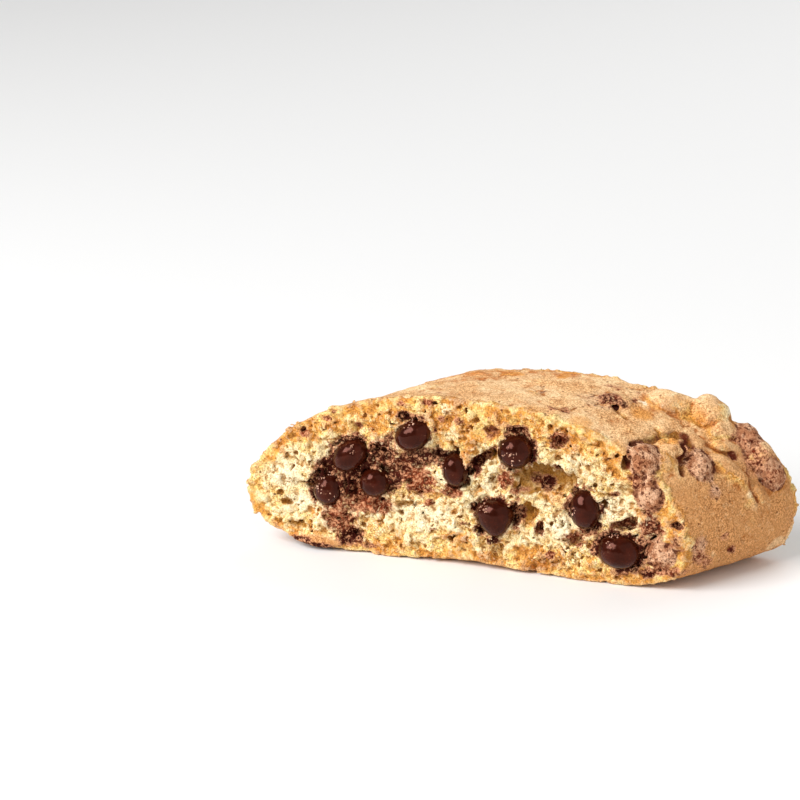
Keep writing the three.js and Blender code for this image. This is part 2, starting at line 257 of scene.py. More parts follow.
# Lines on the crust: half width, and points near it. Cracks are cut in, ridges stand up.
crustLines = {
    "Cracks": [
        (0.8, [(20.6, -10.8, 20.6), (20.7, -9.2, 22.0), (21.6, -7.8, 23.4), (23.0, -6.2, 23.8),
               (24.0, -4.8, 24.0)]),
        (0.75, [(24.0, -4.8, 24.0), (24.4, -3.3, 23.9), (25.9, -1.5, 23.7)]),
        (0.95, [(25.9, -1.5, 23.7), (27.7, -0.2, 23.2), (28.9, -1.4, 21.9)]),
        (0.65, [(28.2, -2.0, 22.4), (28.1, -4.8, 20.8), (28.8, -7.0, 18.9)]),
        (0.45, [(14.0, 1.3, 27.6), (16.3, -1.2, 26.9), (18.6, -3.0, 26.0)]),
        (0.55, [(16.3, -1.2, 26.9), (16.4, 2.2, 27.0), (18.3, 3.4, 26.8)]),
        (0.25, [(3.2, 1.0, 28.6), (4.7, -3.2, 28.6)]),
        (0.25, [(0.6, -9.8, 28.5), (2.2, -9.0, 28.5)]),
        (0.4, [(8.0, -7.0, 27.9), (9.3, -7.4, 27.7), (10.6, -5.0, 27.6)]),
        (0.6, [(26.3, 9.0, 25.7), (27.6, 7.4, 25.4), (28.8, 5.2, 23.9)]),
        (0.35, [(30.8, 1.2, 21.4), (33.0, 1.6, 20.2), (34.8, 2.7, 19.7)]),
        (0.6, [(34.7, 2.7, 19.8), (35.2, 3.1, 19.2)]),
        (0.3, [(36.6, 3.6, 16.4), (37.4, 2.4, 14.0), (38.2, 3.0, 12.0)]),
        (0.5, [(36.2, -2.9, 5.6), (36.8, -2.1, 4.9)]),
        (0.4, [(-19.0, 5.0, 25.0), (-22.4, 7.2, 23.0), (-25.2, 7.6, 21.4)]),
    ],
    "Ridges": [
        (1.5, [(24.6, -4.2, 23.3), (26.8, -6.0, 20.9), (29.0, -7.9, 18.3)]),
        (1.1, [(26.6, -3.0, 22.6), (28.2, -5.4, 20.2)]),
        (1.7, [(30.5, 3.8, 22.8), (33.0, 1.6, 20.8), (35.3, -0.6, 17.1)]),
        (1.2, [(37.3, 0.4, 16.6), (38.6, 1.0, 13.8), (39.1, 1.4, 12.0)]),
        (1.3, [(18.5, 3.1, 26.9), (21.7, 3.3, 26.0), (25.6, 1.2, 24.4)]),
    ],
    "Glaze": [
        (1.8, [(-27.0, 9.0, 20.4), (-20.0, 8.0, 24.0), (-12.0, 6.4, 26.8), (-2.0, 7.0, 28.2),
               (8.0, 8.6, 28.4)]),
        (0.9, [(-18.0, 2.4, 25.8), (-12.0, 2.6, 27.4), (-4.0, 3.6, 28.6)]),
    ],
}
roughZone = Vector((28.5, 6.2, 24.6))
roughReach = 8.5

# Lumps of dough on the crust: centre and half sizes.
crustLumps = [
    ((22.6, 6.0, 26.2), (3.2, 3.0, 2.4)), ((25.6, 6.8, 25.6), (2.2, 2.4, 2.4)),
    ((29.4, 7.8, 24.0), (4.0, 3.6, 3.5)), ((31.8, 6.4, 22.0), (3.0, 3.2, 2.8)),
    ((-31.6, -10.6, 1.7), (4.6, 1.8, 1.3)),
]

# Lumps between the dusted chips, which run together.
dustedLumps = [
    ((23.6, -8.8, 18.6), (2.4, 2.0, 2.4)), ((25.0, -7.2, 20.0), (2.2, 2.2, 2.4)),
    ((38.4, 7.2, 18.6), (2.4, 2.2, 2.2)), ((33.9, 7.6, 20.8), (1.9, 2.0, 1.7)),
    ((28.2, -2.4, 20.8), (1.5, 1.5, 1.4)), ((28.9, -9.4, 8.6), (2.6, 1.6, 1.6)),
]


def weldedSurface(mesh):
    shape = bmesh.new()
    shape.from_mesh(mesh)
    surface = BVHTree.FromBMesh(shape)
    shape.free()
    return surface


def linesOnCrust(name, lines, surface):
    # One edge mesh of the lines, laid on the crust, with the half width at each point.
    points, edges, widths = [], [], []
    stepLength = 0.6
    for width, path in lines:
        for start, end in zip(path, path[1:]):
            stepCount = math.ceil((Vector(end) - Vector(start)).length / stepLength)
            for step in range(stepCount + 1):
                place = Vector(start).lerp(Vector(end), step / stepCount) * mm
                points.append(surface.find_nearest(place)[0])
                widths.append(width)
                if step:
                    edges.append((len(points) - 2, len(points) - 1))
    mesh = bpy.data.meshes.new(name)
    mesh.from_pydata(points, edges, [])
    mesh.attributes.new("halfWidth", "FLOAT", "POINT").data.foreach_set("value", widths)
    return mesh


def addGuide(name, mesh):
    guide = bpy.data.objects.new(name + " guide", mesh)
    scene.collection.objects.link(guide)
    return guide


def guideGeometry(given, label):
    return addNode("GeometryNodeObjectInfo", {"Object": given[label]}).outputs["Geometry"]


def position():
    return made("GeometryNodeInputPosition")


def inMm():
    return scaled(position(), 1 / mm)


def named(name):
    return made("GeometryNodeInputNamedAttribute", {"Name": name})


def without(geometry, chosen, domain="POINT"):
    return made("GeometryNodeDeleteGeometry", {0: geometry, "Selection": chosen}, domain=domain)


def surfaceNormal():
    return made("GeometryNodeInputNormal")


def nearness(geometry, element="FACES"):
    node = addNode("GeometryNodeProximity", {0: geometry}, target_element=element)
    return product(node.outputs["Distance"], 1 / mm)


def sidewaysFaces():
    # Faces that look along Y, as those of the cuts do.
    sideways = calc("ABSOLUTE", parts(surfaceNormal())[1])
    return calc("GREATER_THAN", sideways, torn["mostSideways"])


def crustShell(solid):
    # The browned outside: faces of the solid that lie near its hull and don't look along the cuts.
    hull = made("GeometryNodeConvexHull", {0: solid})
    hull = without(hull, sidewaysFaces(), "FACE")
    buried = calc("GREATER_THAN", nearness(hull), torn["shellReach"])
    return without(solid, calc("MAXIMUM", sidewaysFaces(), buried), "FACE")


def insideDistance(solid):
    # Positive inside a closed shape: a ray from there leaves through the back of a face.
    distance = nearness(solid)
    direction = (0.31, 0.87, 0.38)
    ray = addNode("GeometryNodeRaycast", {
        "Target Geometry": solid, "Ray Direction": direction, "Ray Length": 1.0})
    along = vectorCalc("DOT_PRODUCT", ray.outputs["Hit Normal"], direction)
    inside = product(ray.outputs["Is Hit"], calc("GREATER_THAN", along, 0.0))
    return product(distance, calc("MULTIPLY_ADD", inside, 2.0, -1.0))


def faceDepths(given, where):
    y = parts(where)[1]
    return (calc("SUBTRACT", y, given["cutFront"]), calc("SUBTRACT", given["cutBack"], y))


def crumbAmount(given, where, crust, faceDepth, inside):
    # 1 in the torn crumb, 0 in the crust, which is worn away here and there along the cut.
    wander = wave(where, torn["wanderSize"], given["skinWander"], seed=11.0)
    crumby = calc("DIVIDE", total(crust, wander), given["skin"])
    wear = total(faceDepth, wave(where, given["wearSize"], torn["wearWander"], detail=3.0, seed=12.0))
    wear = calc("SUBTRACT", calc("MULTIPLY_ADD", wear, -1.0, given["wearReach"]), torn["wearStart"])
    crumb = calc("MAXIMUM", ease(crumby, 0.5, 2.2), ease(wear, 0.0, 0.5))
    return product(crumb, ease(inside, -1.1, -0.5))


def warped(where, size, reach, seed):
    shift = vectorCalc("SUBTRACT", noise(where, size, seed=seed, output=1), (0.5, 0.5, 0.5))
    return vectorCalc("ADD", where, scaled(shift, 2 * reach))


def billow(where, size, height, seed, detail=1.0):
    # Rounded bumps with sharp creases between them.
    fold = calc("ABSOLUTE", calc("SUBTRACT", noise(where, size, detail=detail, seed=seed), 0.5))
    return product(calc("SUBTRACT", fold, 0.1), 4.0, height)


def fromMiddle(x, z, spot, inward=0.0):
    # 0 in the middle of an ellipse on the cut, 1 at its edge.
    middleX, middleZ, halfWidth, halfHeight = spot[:4]
    across = calc("MULTIPLY_ADD", x, 1 / halfWidth, -middleX / halfWidth)
    up = calc("MULTIPLY_ADD", z, 1 / halfHeight, -middleZ / halfHeight)
    return vectorCalc("LENGTH", made("ShaderNodeCombineXYZ", {0: across, 1: up, 2: inward}))


def hollowed(field, where, faceDepth, hollows):
    # Rounded pits with ragged walls, each an ellipsoid set on the cut.
    x, _, z = parts(where)
    walls = wave(where, torn["wallSize"], torn["wallHeight"], detail=3.0, seed=25.0)
    for hollow in hollows:
        reach = fromMiddle(x, z, hollow, product(faceDepth, 1 / hollow[4]))
        outside = calc("MULTIPLY_ADD", calc("SUBTRACT", reach, 1.0), min(hollow[2:4]), walls)
        field = calc("SMOOTH_MIN", field, outside, torn["hollowBlend"])
    return field


def lineDistance(given, label):
    # The distance to the nearest line of a set, and that line's half width.
    lines = guideGeometry(given, label)
    nearest = made("GeometryNodeSampleNearest", {0: lines})
    halfWidth = made("GeometryNodeSampleIndex", {0: lines, "Value": named("halfWidth"), "Index": nearest})
    return nearness(lines, "EDGES"), halfWidth


def crumbRelief(given, where, bent, crust):
    # Mostly carved away, and hardly raised near the rim, where it would stand out of the crust.
    coarse = ease(noise(where, torn["coarseSize"], detail=1.0, seed=8.0), 0.4, 0.6, 0.35, 1.0)
    fold = wave(bent, given["foldSize"], given["foldHeight"], detail=5.0, roughness=0.66, seed=23.0)
    relief = total(
        wave(where, given["clumpSize"], given["clumpHeight"], seed=1.0), product(fold, coarse),
        billow(bent, given["creaseSize"], given["creaseHeight"], 21.0, detail=3.0))
    pit = ease(noise(bent, given["pitSize"], detail=4.0, seed=7.0, roughness=0.7), 0.58, 0.64)
    small = ease(noise(bent, given["smallPitSize"], detail=2.0, seed=22.0), 0.58, 0.68)
    relief = calc("SUBTRACT", relief, product(pit, given["pitDepth"]))
    relief = calc("SUBTRACT", relief, product(small, given["smallPitDepth"], coarse))
    relief = product(relief, ease(crust, 0.0, 2.6, 0.3, 1.0))
    return calc("MINIMUM", relief, ease(crust, 0.4, 2.4))


def byZone(where, smooth, rough):
    # One value on the smooth crust, and another where the dough was left rough.
    gap = vectorCalc("DISTANCE", where, roughZone)
    return ease(gap, roughReach, roughReach - torn["roughRim"], smooth, rough)


def crustRelief(given, where):
    # Lumps where the dough was left rough, and the low ridges between them.
    facets = product(billow(where, given["facetSize"], given["facetHeight"], 24.0), byZone(where, 0.0, 1.0))
    distance, halfWidth = lineDistance(given, "Ridges")
    ridge = ease(calc("DIVIDE", distance, halfWidth), 1.0, 0.0)
    return calc("MULTIPLY_ADD", ridge, given["ridgeHeight"], facets)


def lumped(field, where, lumps):
    # Ellipsoids that run softly into the shape.
    for centre, halfSizes in lumps:
        offset = vectorCalc("DIVIDE", vectorCalc("SUBTRACT", where, centre), halfSizes)
        within = product(calc("SUBTRACT", 1.0, vectorCalc("LENGTH", offset)), min(halfSizes))
        field = calc("SMOOTH_MAX", field, within, torn["lumpBlend"])
    return field


def porous(field, given, where, crust, faceDepth):
    # Round pores near the cuts, one in each of a few cells. Where there is none, nothing is cut.
    reach = given["poreReach"]
    shallow = product(ease(faceDepth, reach, calc("SUBTRACT", reach, torn["poreRim"])), ease(crust, 0.3, 1.3))
    for label, (most, rarity) in poreKinds.items():
        pore = cells(where, given[label])
        luck = ease(parts(pore.outputs["Color"])[1], rarity, 1.0)
        radius = product(luck, shallow, most)
        hole = product(calc("SUBTRACT", pore.outputs["Distance"], radius), given[label])
        hole = calc("MULTIPLY_ADD", calc("LESS_THAN", radius, torn["leastPore"]), torn["poreGap"], hole)
        field = calc("SMOOTH_MIN", field, hole, torn["poreBlend"])
    return field


def coated(field, given, where, bent):
    # A thin uneven coat over the dusted chips, and a closed one over the buried chip.
    patches = wave(where, given["dustPatchSize"], given["dustPatches"], detail=4.0, seed=41.0, roughness=0.6)
    grain = wave(where, torn["dustGrainSize"], given["dustGrain"], seed=42.0)
    chips = lumped(insideDistance(guideGeometry(given, "Dusted")), bent, dustedLumps)
    coat = total(chips, given["dustFilm"], patches, grain)
    field = calc("SMOOTH_MAX", field, coat, torn["coatBlend"])
    cover = total(insideDistance(guideGeometry(given, "Buried")), given["burialDepth"])
    return calc("SMOOTH_MAX", field, cover, torn["coverBlend"])


def doughField(given):
    # Positive inside the dough, in millimetres, with the torn crumb worked into both cuts.
    solid = given["Geometry"]
    where = inMm()
    field = insideDistance(solid)
    crust = nearness(crustShell(solid))
    frontDepth, backDepth = faceDepths(given, where)
    faceDepth = calc("MINIMUM", frontDepth, backDepth)
    crumby = crumbAmount(given, where, crust, faceDepth, field)
    bent = warped(where, torn["bendSize"], torn["bend"], seed=4.0)
    relief = crumbRelief(given, where, bent, crust)
    filling = product(ease(nearness(guideGeometry(given, "Glossy")), 1.0, 0.35), given["socketFill"])
    field = total(field, product(relief, crumby), filling)

    # The lumps are craggy all over but for the base, which stays flat.
    crags = wave(where, torn["cragSize"], given["lumpGrain"], detail=3.0, seed=43.0)
    craggy = total(field, product(crags, ease(parts(where)[2], 0.3, 1.6)))
    field = calc("MAXIMUM", field, lumped(craggy, bent, crustLumps))
    field = calc("MULTIPLY_ADD", crustRelief(given, where), calc("SUBTRACT", 1.0, crumby), field)

    ragged = warped(bent, torn["raggedSize"], torn["ragged"], seed=5.0)
    field = hollowed(field, ragged, frontDepth, frontHollows)
    field = hollowed(field, ragged, backDepth, backHollows)
    field = porous(field, given, ragged, crust, faceDepth)
    field = coated(field, given, where, bent)
    distance, halfWidth = lineDistance(given, "Cracks")
    opening = product(noise(where, torn["crackSize"], seed=31.0), halfWidth, torn["crackWidening"])
    return calc("SMOOTH_MIN", field, calc("SUBTRACT", distance, opening), torn["crackBlend"])


def largestIsland(skin):
    island = addNode("GeometryNodeInputMeshIsland").outputs["Island Index"]
    points = addNode("GeometryNodeAccumulateField", {"Value": 1.0, "Group ID": island})
    return without(skin, calc("LESS_THAN", points.outputs["Total"], fewestPoints))


def moved(geometry, sockets):
    return made("GeometryNodeSetPosition", {0: geometry, **sockets})


def pushedOut(geometry, distance):
    return moved(geometry, {"Offset": scaled(surfaceNormal(), product(distance, mm))})


def finished(given, geometry):
    geometry = made("GeometryNodeSetShadeSmooth", {0: geometry})
    geometry = made("GeometryNodeRealizeInstances", {0: geometry})
    return made("GeometryNodeSetMaterial", {0: geometry, "Material": given["Finish"]})


def blurredPosition(steps, weight=1.0):
    return made("GeometryNodeBlurAttribute", {
        "Value": position(), "Iterations": steps, "Weight": weight}, data_type="FLOAT_VECTOR")


def doughShape(given):
    low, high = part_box("dough")
    margin = Vector((1, 1, 1)) * mm
    low, high = Vector(low) - margin, Vector(high) + margin
    counts = [math.ceil(side / voxel) for side in high - low]
    block = made("GeometryNodeVolumeCube", {
        "Density": doughField(given), "Background": -1.0, "Min": low, "Max": high,
        "Resolution X": counts[0], "Resolution Y": counts[1], "Resolution Z": counts[2]})
    skin = made("GeometryNodeVolumeToMesh", {"Volume": block, "Threshold": 0.0, "Adaptivity": 0.0})
    skin = largestIsland(skin)

    # The crust is smoothed, which takes out the solid's facets, and then rippled.
    where = inMm()
    crust = nearness(crustShell(given["Geometry"]))
    faceDepth = calc("MINIMUM", *faceDepths(given, where))
    inside = insideDistance(given["Geometry"])
    smoothness = calc("SUBTRACT", 1.0, crumbAmount(given, where, crust, faceDepth, inside))
    crack, _ = lineDistance(given, "Cracks")
    dusted = nearness(guideGeometry(given, "Dusted"))
    kept = calc("MINIMUM", ease(crack, 1.0, 2.2, given["crackBlur"], 1.0), ease(dusted, 0.8, 1.8, 0.2))
    weight = product(smoothness, byZone(where, 1.0, 0.12), kept)
    skin = moved(skin, {"Position": blurredPosition(torn["smoothingSteps"], weight)})
    ripple = wave(where, given["rippleSize"], given["rippleHeight"], detail=3.0, seed=51.0)
    fine = billow(where, given["fineRippleSize"], given["fineRippleHeight"], 52.0)
    skin = pushedOut(skin, product(calc("SUBTRACT", ripple, fine), smoothness))
    return made("GeometryNodeRealizeInstances", {0: skin})


# How deep below a cut its marks end, and how deep they are at full strength, in millimetres.
cutReach = 6.0
cutCore = 4.0

# Smears less red than this don't add to the redness.
leastRed = 0.25

# Melted chocolate in the front crumb, and painted shade where a dark one sits in a hollow: x, z, half width,
# half height, darkness, redness.
frontSmearsAndShade = [
    (-30.3, 14.4, 2.2, 2.0, 0.95, 0.1), (-27.6, 18.6, 1.6, 1.0, 0.5, 0.3), (-33.8, 11.4, 1.6, 0.6, 0.95, 0.0),
    (-31.6, 12.2, 1.4, 2.6, 0.7, 0.2), (-25.7, 11.6, 2.0, 3.4, 1.0, 0.2), (-23.6, 16.0, 2.4, 2.6, 0.85, 0.2),
    (-21.2, 17.6, 3.0, 2.0, 0.8, 0.2), (-18.8, 13.7, 1.6, 2.6, 0.95, 0.1), (-22.1, 8.9, 3.8, 1.8, 0.75, 0.9),
    (-29.0, 8.4, 3.0, 1.2, 0.6, 0.8), (-16.0, 17.2, 3.4, 2.1, 0.75, 0.15), (-19.2, 20.4, 1.4, 1.8, 0.6, 0.1),
    (-14.2, 13.9, 3.2, 2.8, 0.75, 0.9), (-17.0, 15.2, 2.2, 1.6, 0.85, 0.3), (-12.4, 10.5, 1.0, 0.6, 0.7, 1.0),
    (-10.5, 18.8, 1.6, 1.1, 1.0, 0.1), (-4.7, 17.4, 1.4, 1.6, 1.0, 0.1), (-3.4, 19.0, 1.4, 0.8, 0.7, 0.2),
    (-1.7, 20.5, 0.9, 0.8, 0.9, 0.1), (-8.5, 12.8, 2.0, 1.1, 0.7, 0.8), (2.5, 24.6, 2.2, 1.0, 0.95, 0.3),
    (0.5, 15.9, 1.5, 2.0, 0.75, 1.0), (2.6, 14.2, 2.4, 0.6, 0.5, 0.8), (5.1, 15.9, 1.4, 0.9, 0.6, 0.4),
    (7.1, 15.4, 1.5, 1.0, 1.0, 0.1), (9.4, 18.5, 1.1, 0.8, 1.0, 0.1), (9.3, 23.6, 1.7, 1.4, 1.0, 0.6),
    (-4.6, 10.6, 1.1, 1.0, 0.9, 0.1), (-3.6, 6.8, 1.1, 1.1, 0.9, 0.2), (2.4, 10.2, 1.1, 3.0, 0.95, 0.1),
    (-1.3, 5.2, 1.5, 0.8, 0.9, 0.1), (6.5, 8.2, 0.9, 1.3, 0.9, 0.5), (12.3, 7.0, 2.2, 1.3, 0.7, 0.8),
    (11.8, 12.8, 0.9, 2.4, 0.8, 0.2), (14.0, 8.6, 2.0, 0.8, 0.6, 0.5), (8.5, 4.0, 0.8, 0.6, 0.9, 0.7),
    (-6.3, 7.5, 0.9, 0.4, 0.6, 0.4), (-11.9, 6.1, 0.9, 0.4, 0.5, 0.6), (20.6, 10.4, 2.6, 1.1, 0.75, 0.5),
    (23.7, 6.6, 1.0, 2.8, 0.9, 0.2), (25.3, 10.5, 2.4, 2.0, 0.75, 0.4), (29.4, 11.3, 1.1, 0.6, 0.95, 0.2),
    (27.6, 3.4, 4.2, 1.0, 0.6, 0.6), (24.6, 2.6, 1.4, 0.8, 0.95, 0.1), (-27.9, 5.8, 3.6, 2.8, 0.66, 0.7),
    (-26.2, 3.1, 2.6, 1.9, 0.95, 0.1), (-34.6, 1.5, 2.4, 0.9, 1.0, 0.1), (-23.4, 1.6, 2.2, 0.8, 0.5, 0.5),
    (-16.0, 25.0, 2.2, 1.0, 1.0, 0.1), (-12.7, 27.8, 1.5, 0.5, 0.6, 1.0), (-17.1, 27.1, 1.2, 0.6, 0.6, 1.0),
    (-31.4, 0.7, 3.0, 1.0, 1.0, 0.1), (-13.6, 18.2, 3.4, 1.8, 0.75, 0.15), (-26.4, 13.8, 3.6, 2.6, 0.9, 0.25),
    (-23.4, 10.8, 3.4, 2.2, 0.85, 0.5), (-18.4, 16.4, 4.0, 3.0, 0.7, 0.3),
    (-20.6, 18.8, 3.0, 2.0, 0.75, 0.3), (-30.6, 13.0, 2.6, 2.2, 0.85, 0.2), (-24.6, 9.0, 4.6, 1.8, 0.6, 0.7),
    (-34.3, 20.3, 1.1, 0.9, 0.6, 1.0), (-30.3, 23.2, 0.8, 0.6, 0.6, 1.0), (-29.0, 24.5, 0.7, 0.4, 0.5, 1.0),
    (-24.8, 22.6, 0.9, 0.8, 0.6, 1.0), (-10.3, 25.2, 0.7, 0.7, 0.5, 1.0), (-7.4, 25.3, 1.0, 0.7, 0.5, 1.0),
    (-2.0, 24.0, 1.6, 1.1, 0.45, 1.0), (24.6, 12.6, 1.6, 0.8, 0.6, 0.5), (22.6, 18.2, 0.9, 2.4, 0.7, 0.4),
    (19.0, 15.5, 1.3, 0.5, 0.6, 0.3), (33.6, 3.0, 1.2, 2.6, 0.5, 0.4),
]

# Cream and golden patches of the front crumb, and olive painted shade in its hollows: x, z, half width, half
# height, amount.
frontPatches = {
    "pale": [
        (-38.4, 12.4, 4.2, 3.2, 1.0), (-35.4, 8.2, 2.8, 1.6, 1.0), (-33.6, 15.4, 3.6, 2.4, 0.6),
        (-13.1, 8.2, 8.5, 2.6, 0.8), (-9.9, 14.6, 2.4, 1.8, 0.8), (-2.5, 15.0, 2.6, 2.2, 0.6),
        (-8.6, 23.0, 2.6, 1.6, 0.5), (-9.3, 26.9, 1.4, 1.2, 0.9), (18.3, 13.0, 3.2, 2.4, 1.0),
        (9.7, 9.2, 3.6, 2.4, 1.0), (7.7, 12.0, 2.2, 1.4, 0.7), (13.6, 19.6, 3.4, 2.8, 0.5),
        (-0.4, 13.2, 2.6, 0.9, 0.6), (-12.6, 21.6, 1.4, 1.2, 0.4), (-36.0, 3.0, 2.8, 1.4, 0.5),
    ],
    "gold": [
        (-2.6, 25.9, 3.4, 1.8, 1.0), (2.8, 26.6, 4.0, 1.2, 0.8), (-7.4, 20.6, 3.4, 2.0, 1.0),
        (-34.3, 20.6, 3.0, 1.8, 0.8), (-20.9, 22.0, 2.2, 1.2, 0.8), (12.8, 23.4, 4.0, 1.4, 0.6),
        (4.3, 10.5, 2.6, 2.2, 1.0), (-7.6, 4.5, 3.0, 1.6, 0.8), (6.6, 3.6, 5.0, 2.0, 0.8),
        (18.6, 22.4, 2.4, 2.6, 0.6), (-38.8, 9.3, 1.3, 0.9, 0.9), (-37.4, 7.6, 2.2, 0.6, 0.9),
        (-40.6, 15.6, 1.6, 1.6, 0.5), (27.2, 13.4, 2.6, 1.2, 0.5), (30.4, 5.0, 1.6, 4.0, 0.5),
        (-4.0, 23.0, 4.6, 2.0, 0.9), (-9.8, 23.6, 2.6, 1.6, 0.7), (8.8, 13.8, 3.0, 2.0, 0.7),
        (15.6, 2.6, 5.0, 1.4, 0.7), (-18.0, 3.0, 4.0, 1.4, 0.6), (20.4, 3.0, 4.0, 1.0, 0.7),
    ],
    # Olive painted shade in the hollows.
    "olive": [
        (5.0, 16.4, 3.8, 3.0, 0.9), (9.8, 17.0, 3.6, 1.8, 0.9), (-3.0, 19.4, 2.4, 1.1, 1.0),
        (-35.4, 4.0, 1.6, 0.8, 0.8), (-17.2, 21.0, 1.2, 2.0, 0.7), (-16.8, 9.7, 2.2, 0.7, 0.6),
        (4.0, 10.4, 1.8, 1.6, 0.7), (-9.6, 21.0, 2.0, 1.2, 0.4),
    ],
}
# How far out each kind is at its strongest, and where all of them end, as shares of their size.
patchCore = {"pale": 0.2, "gold": 0.2, "olive": 0.7}
patchEdge = 1.4

# Marks on the crust: x, y, z, radius, amount.
crustSpots = {
    "cocoaAndShade": [
        (14.6, 1.0, 27.4, 0.7, 0.6), (16.4, 1.6, 27.0, 0.9, 0.6), (18.2, -2.6, 26.2, 0.6, 0.6),
        (18.4, 3.8, 26.9, 0.9, 0.6), (28.4, -2.2, 21.9, 1.5, 0.95), (9.4, -7.0, 27.7, 1.2, 0.85),
        (4.1, -1.4, 28.6, 0.8, 0.7), (36.6, -2.4, 5.2, 0.8, 1.0), (35.8, -4.1, 8.0, 1.0, 0.5),
        (35.0, 2.9, 19.5, 0.9, 1.0), (37.0, 6.4, 20.4, 1.8, 0.75), (36.0, 5.0, 21.4, 1.0, 0.7),
        (32.4, -8.0, 5.6, 1.6, 0.6), (32.0, -8.8, 8.2, 1.2, 0.6), (7.4, -7.8, 27.9, 1.0, 0.5),
        (26.9, 8.2, 27.6, 0.8, 0.9), (38.4, 5.6, 18.2, 3.4, 0.5), (41.2, 5.6, 15.4, 2.2, 0.55),
        (34.2, 6.0, 21.2, 1.8, 0.8), (25.2, -10.4, 13.6, 1.2, 0.7), (21.2, -10.2, 18.4, 0.8, 0.6),
        (28.4, -4.6, 19.4, 0.8, 0.7),
        # These last seven spots paint the dark line along the arc crack: chocolate in it and painted shadow.
        (20.8, -9.2, 21.8, 0.8, 0.9), (21.5, -7.8, 23.2, 0.7, 1.0), (22.6, -6.6, 23.7, 0.7, 1.0),
        (23.8, -5.2, 24.0, 0.6, 1.0), (24.3, -3.6, 23.9, 0.6, 0.9), (25.8, -1.6, 23.7, 0.8, 1.0),
        (27.5, -0.3, 23.2, 0.9, 1.0),
    ],
    "gold": [
        (29.1, 4.9, 23.8, 1.9, 0.8), (33.0, 1.6, 21.1, 1.6, 1.0), (24.6, -4.0, 23.4, 1.8, 0.8),
        (26.2, -2.6, 23.2, 1.6, 0.9), (20.4, 0.2, 26.0, 2.6, 0.8), (23.9, 5.0, 27.2, 2.8, 0.5),
        (2.6, -2.2, 28.6, 1.2, 0.7), (12.6, -9.4, 26.4, 3.0, 0.6), (5.0, -10.0, 28.0, 3.0, 0.5),
        (38.8, 1.2, 12.8, 1.0, 0.8),
    ],
    "pale": [
        (38.6, 1.0, 13.8, 1.2, 0.8), (39.1, 1.4, 12.0, 1.0, 0.8), (35.4, -3.7, 13.2, 0.5, 0.9),
        (34.2, -6.0, 5.5, 0.6, 0.9), (23.9, 5.4, 27.2, 2.4, 0.7), (14.6, -7.3, 26.4, 0.8, 0.9),
        (33.2, 1.8, 21.3, 1.2, 0.6), (17.4, -8.2, 25.2, 3.2, 0.5), (25.0, 8.0, 27.0, 2.0, 0.6),
        # The three spots of amount 2.0 paint a highlight along the glossy streak on the crust.
        (29.8, -4.6, 17.6, 1.2, 0.5), (18.8, 3.2, 27.0, 0.5, 2.0), (19.8, 3.3, 26.7, 0.55, 2.0),
        (20.8, 3.3, 26.4, 0.45, 2.0),
    ],
    "dusty": [
        (33.8, -4.3, 15.6, 1.5, 0.7), (33.2, -3.6, 17.0, 1.0, 0.5), (29.5, -0.7, 18.5, 3.6, 0.6),
        (13.4, -0.4, 27.6, 4.2, 0.45), (25.6, -8.6, 18.4, 1.6, 0.6), (32.6, -8.4, 7.4, 2.2, 0.7),
        (38.6, 7.4, 18.8, 2.4, 0.9), (23.8, -9.6, 18.8, 2.6, 1.0), (25.4, -7.4, 20.2, 2.0, 0.9),
        (28.2, -2.4, 20.8, 1.8, 1.0), (34.0, 7.4, 20.8, 2.2, 1.0), (29.4, -9.6, 8.4, 2.4, 0.9),
    ],
}


def strongest(spots, spread, near=0.35, far=1.35):
    # The strongest of several round patches at a point: spread gives each one's distance.
    strength = 0.0
    for spot in spots:
        strength = calc("MAXIMUM", strength, ease(spread(spot), far, near, 0.0, spot[4]))
    return strength


def faceSpread(where):
    x, _, z = parts(where)
    return lambda spot: fromMiddle(x, z, spot)


def crustSpread(where):
    return lambda spot: calc("DIVIDE", vectorCalc("DISTANCE", where, spot[:3]), spot[3])


def stored(geometry, name, value):
    return made("GeometryNodeStoreNamedAttribute", {
        0: geometry, "Name": name, "Value": value}, data_type="FLOAT")


def cavityDepth(steps):
    # How far a point lies below its surroundings, in millimetres.
    gap = vectorCalc("SUBTRACT", blurredPosition(steps), position())
    return product(vectorCalc("DOT_PRODUCT", gap, surfaceNormal()), 1 / mm)


def onCut(depth):
    # 1 at a cut and in its hollows, 0 below them.
    return ease(depth, cutReach, cutCore)


def smearAndShadeAmounts(given, where, frontDepth, backDepth):
    # How much melted chocolate and painted shade lie at a point, and how red it is.
    loose = warped(where, size=1.4, reach=0.8, seed=61.0)
    spread = faceSpread(loose)
    strength = product(strongest(frontSmearsAndShade, spread), onCut(frontDepth))
    redOnes = [smear[:4] + (smear[4] * smear[5],) for smear in frontSmearsAndShade if smear[5] > leastRed]
    redness = product(strongest(redOnes, spread), onCut(frontDepth))
    onCrust = product(strongest(crustSpots["cocoaAndShade"], crustSpread(loose)), 0.85)
    strength = calc("MAXIMUM", strength, onCrust)

    # A broken ring round each bare chip, melted chocolate and painted shadow in the gap beside it, and loose
    # marks between those of the back cut.
    chips = nearness(guideGeometry(given, "Glossy"))
    patchy = noise(where, 3.0, detail=2.0, seed=62.0)
    chocolateAndShadeRing = product(ease(chips, 2.0, 0.3), ease(patchy, 0.44, 0.6))
    chocolateAndShadeRing = calc("MAXIMUM", chocolateAndShadeRing, ease(chips, 0.7, 0.2, 0.0, 0.4))
    onBack = product(onCut(backDepth), ease(patchy, 0.5, 0.62, 0.0, 0.85), ease(chips, 5.0, 2.0))
    redBack = product(onBack, ease(noise(where, 5.0, seed=63.0), 0.45, 0.6))
    return (calc("MAXIMUM", calc("MAXIMUM", strength, chocolateAndShadeRing), onBack), calc("MAXIMUM", redness, redBack))


